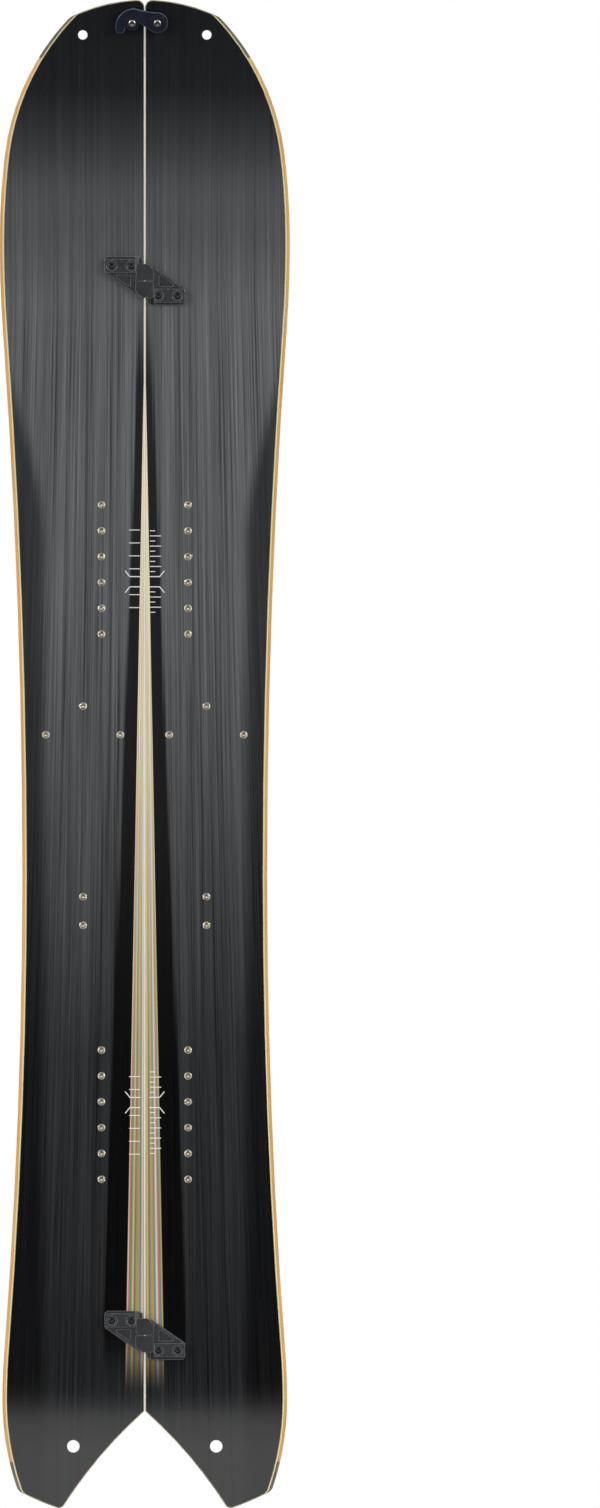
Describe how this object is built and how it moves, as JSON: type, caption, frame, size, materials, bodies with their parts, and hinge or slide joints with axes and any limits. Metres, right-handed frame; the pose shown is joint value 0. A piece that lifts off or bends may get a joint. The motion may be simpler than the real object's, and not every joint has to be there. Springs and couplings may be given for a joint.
{
  "type": "splitboard",
  "caption": "Splitboard: swallowtail snowboard that parts lengthwise into ski halves, joined by split hooks and a nose clip, with threaded binding inserts.",
  "frame": {"origin": "midway between the two nose holes, in the middle of the board's thickness", "axes": "+Z along the board towards the nose, +Y out of the base (the running face), +X across, towards the half that carries the nose clip's lever"},
  "size_m": [0.2852, 0.0497, 1.4815],
  "materials": {
    "topsheet": "gloss",
    "top_laminate": "satin",
    "core": "satin",
    "spacer": "matte",
    "sidewall": "satin",
    "inner_sidewall": "satin",
    "bottom_laminate": "satin",
    "base": "gloss",
    "steel_edge": "satin",
    "insert": "satin",
    "hook": "satin",
    "screw": "polished",
    "dark_screw": "satin",
    "nut": "satin",
    "lever": "satin",
    "bush": "satin",
    "washer": "satin",
    "post": "satin"
  },
  "bodies": {
    "left_half": {"left_topsheet": "topsheet", "left_top_laminate": "top_laminate", "left_core": "core", "left_tip_spacer": "spacer", "left_tail_spacer": "spacer", "left_outer_sidewall": "sidewall", "left_inner_sidewall": "inner_sidewall", "left_bottom_laminate": "bottom_laminate", "left_base": "base", "left_steel_edge": "steel_edge", "left_front_binding_inserts": "insert", "left_rear_binding_inserts": "insert", "left_touring_inserts": "insert", "left_heel_inserts": "insert", "left_front_hook": "hook", "left_rear_hook": "hook", "left_front_hook_screws": "dark_screw", "left_rear_hook_screws": "dark_screw", "left_front_hook_nuts": "nut", "left_rear_hook_nuts": "nut", "clip_catch_post": "post", "clip_catch_washer": "washer", "clip_catch_screw": "screw", "clip_catch_nut": "nut"},
    "right_half": {"right_topsheet": "topsheet", "right_top_laminate": "top_laminate", "right_core": "core", "right_tip_spacer": "spacer", "right_tail_spacer": "spacer", "right_outer_sidewall": "sidewall", "right_inner_sidewall": "inner_sidewall", "right_bottom_laminate": "bottom_laminate", "right_base": "base", "right_steel_edge": "steel_edge", "right_front_binding_inserts": "insert", "right_rear_binding_inserts": "insert", "right_touring_inserts": "insert", "right_heel_inserts": "insert", "right_front_hook": "hook", "right_rear_hook": "hook", "right_front_hook_screws": "dark_screw", "right_rear_hook_screws": "dark_screw", "right_front_hook_nuts": "nut", "right_rear_hook_nuts": "nut", "clip_pivot_bush": "bush", "clip_pivot_washer": "washer", "clip_pivot_screw": "screw", "clip_pivot_nut": "nut"},
    "clip_lever": {"clip_lever": "lever"}
  },
  "joints": [
    {"name": "halves_slide", "type": "slide", "parent": "left_half", "child": "right_half", "axis": [0, 0, 1], "range_m": [0, 0.018]},
    {"name": "clip_lever_hinge", "type": "hinge", "parent": "right_half", "child": "clip_lever", "pos_m": [0.0124, -0.00674, 0.014], "axis": [0, 0.9702, 0.2425], "range_deg": [0, 105]}
  ]
}
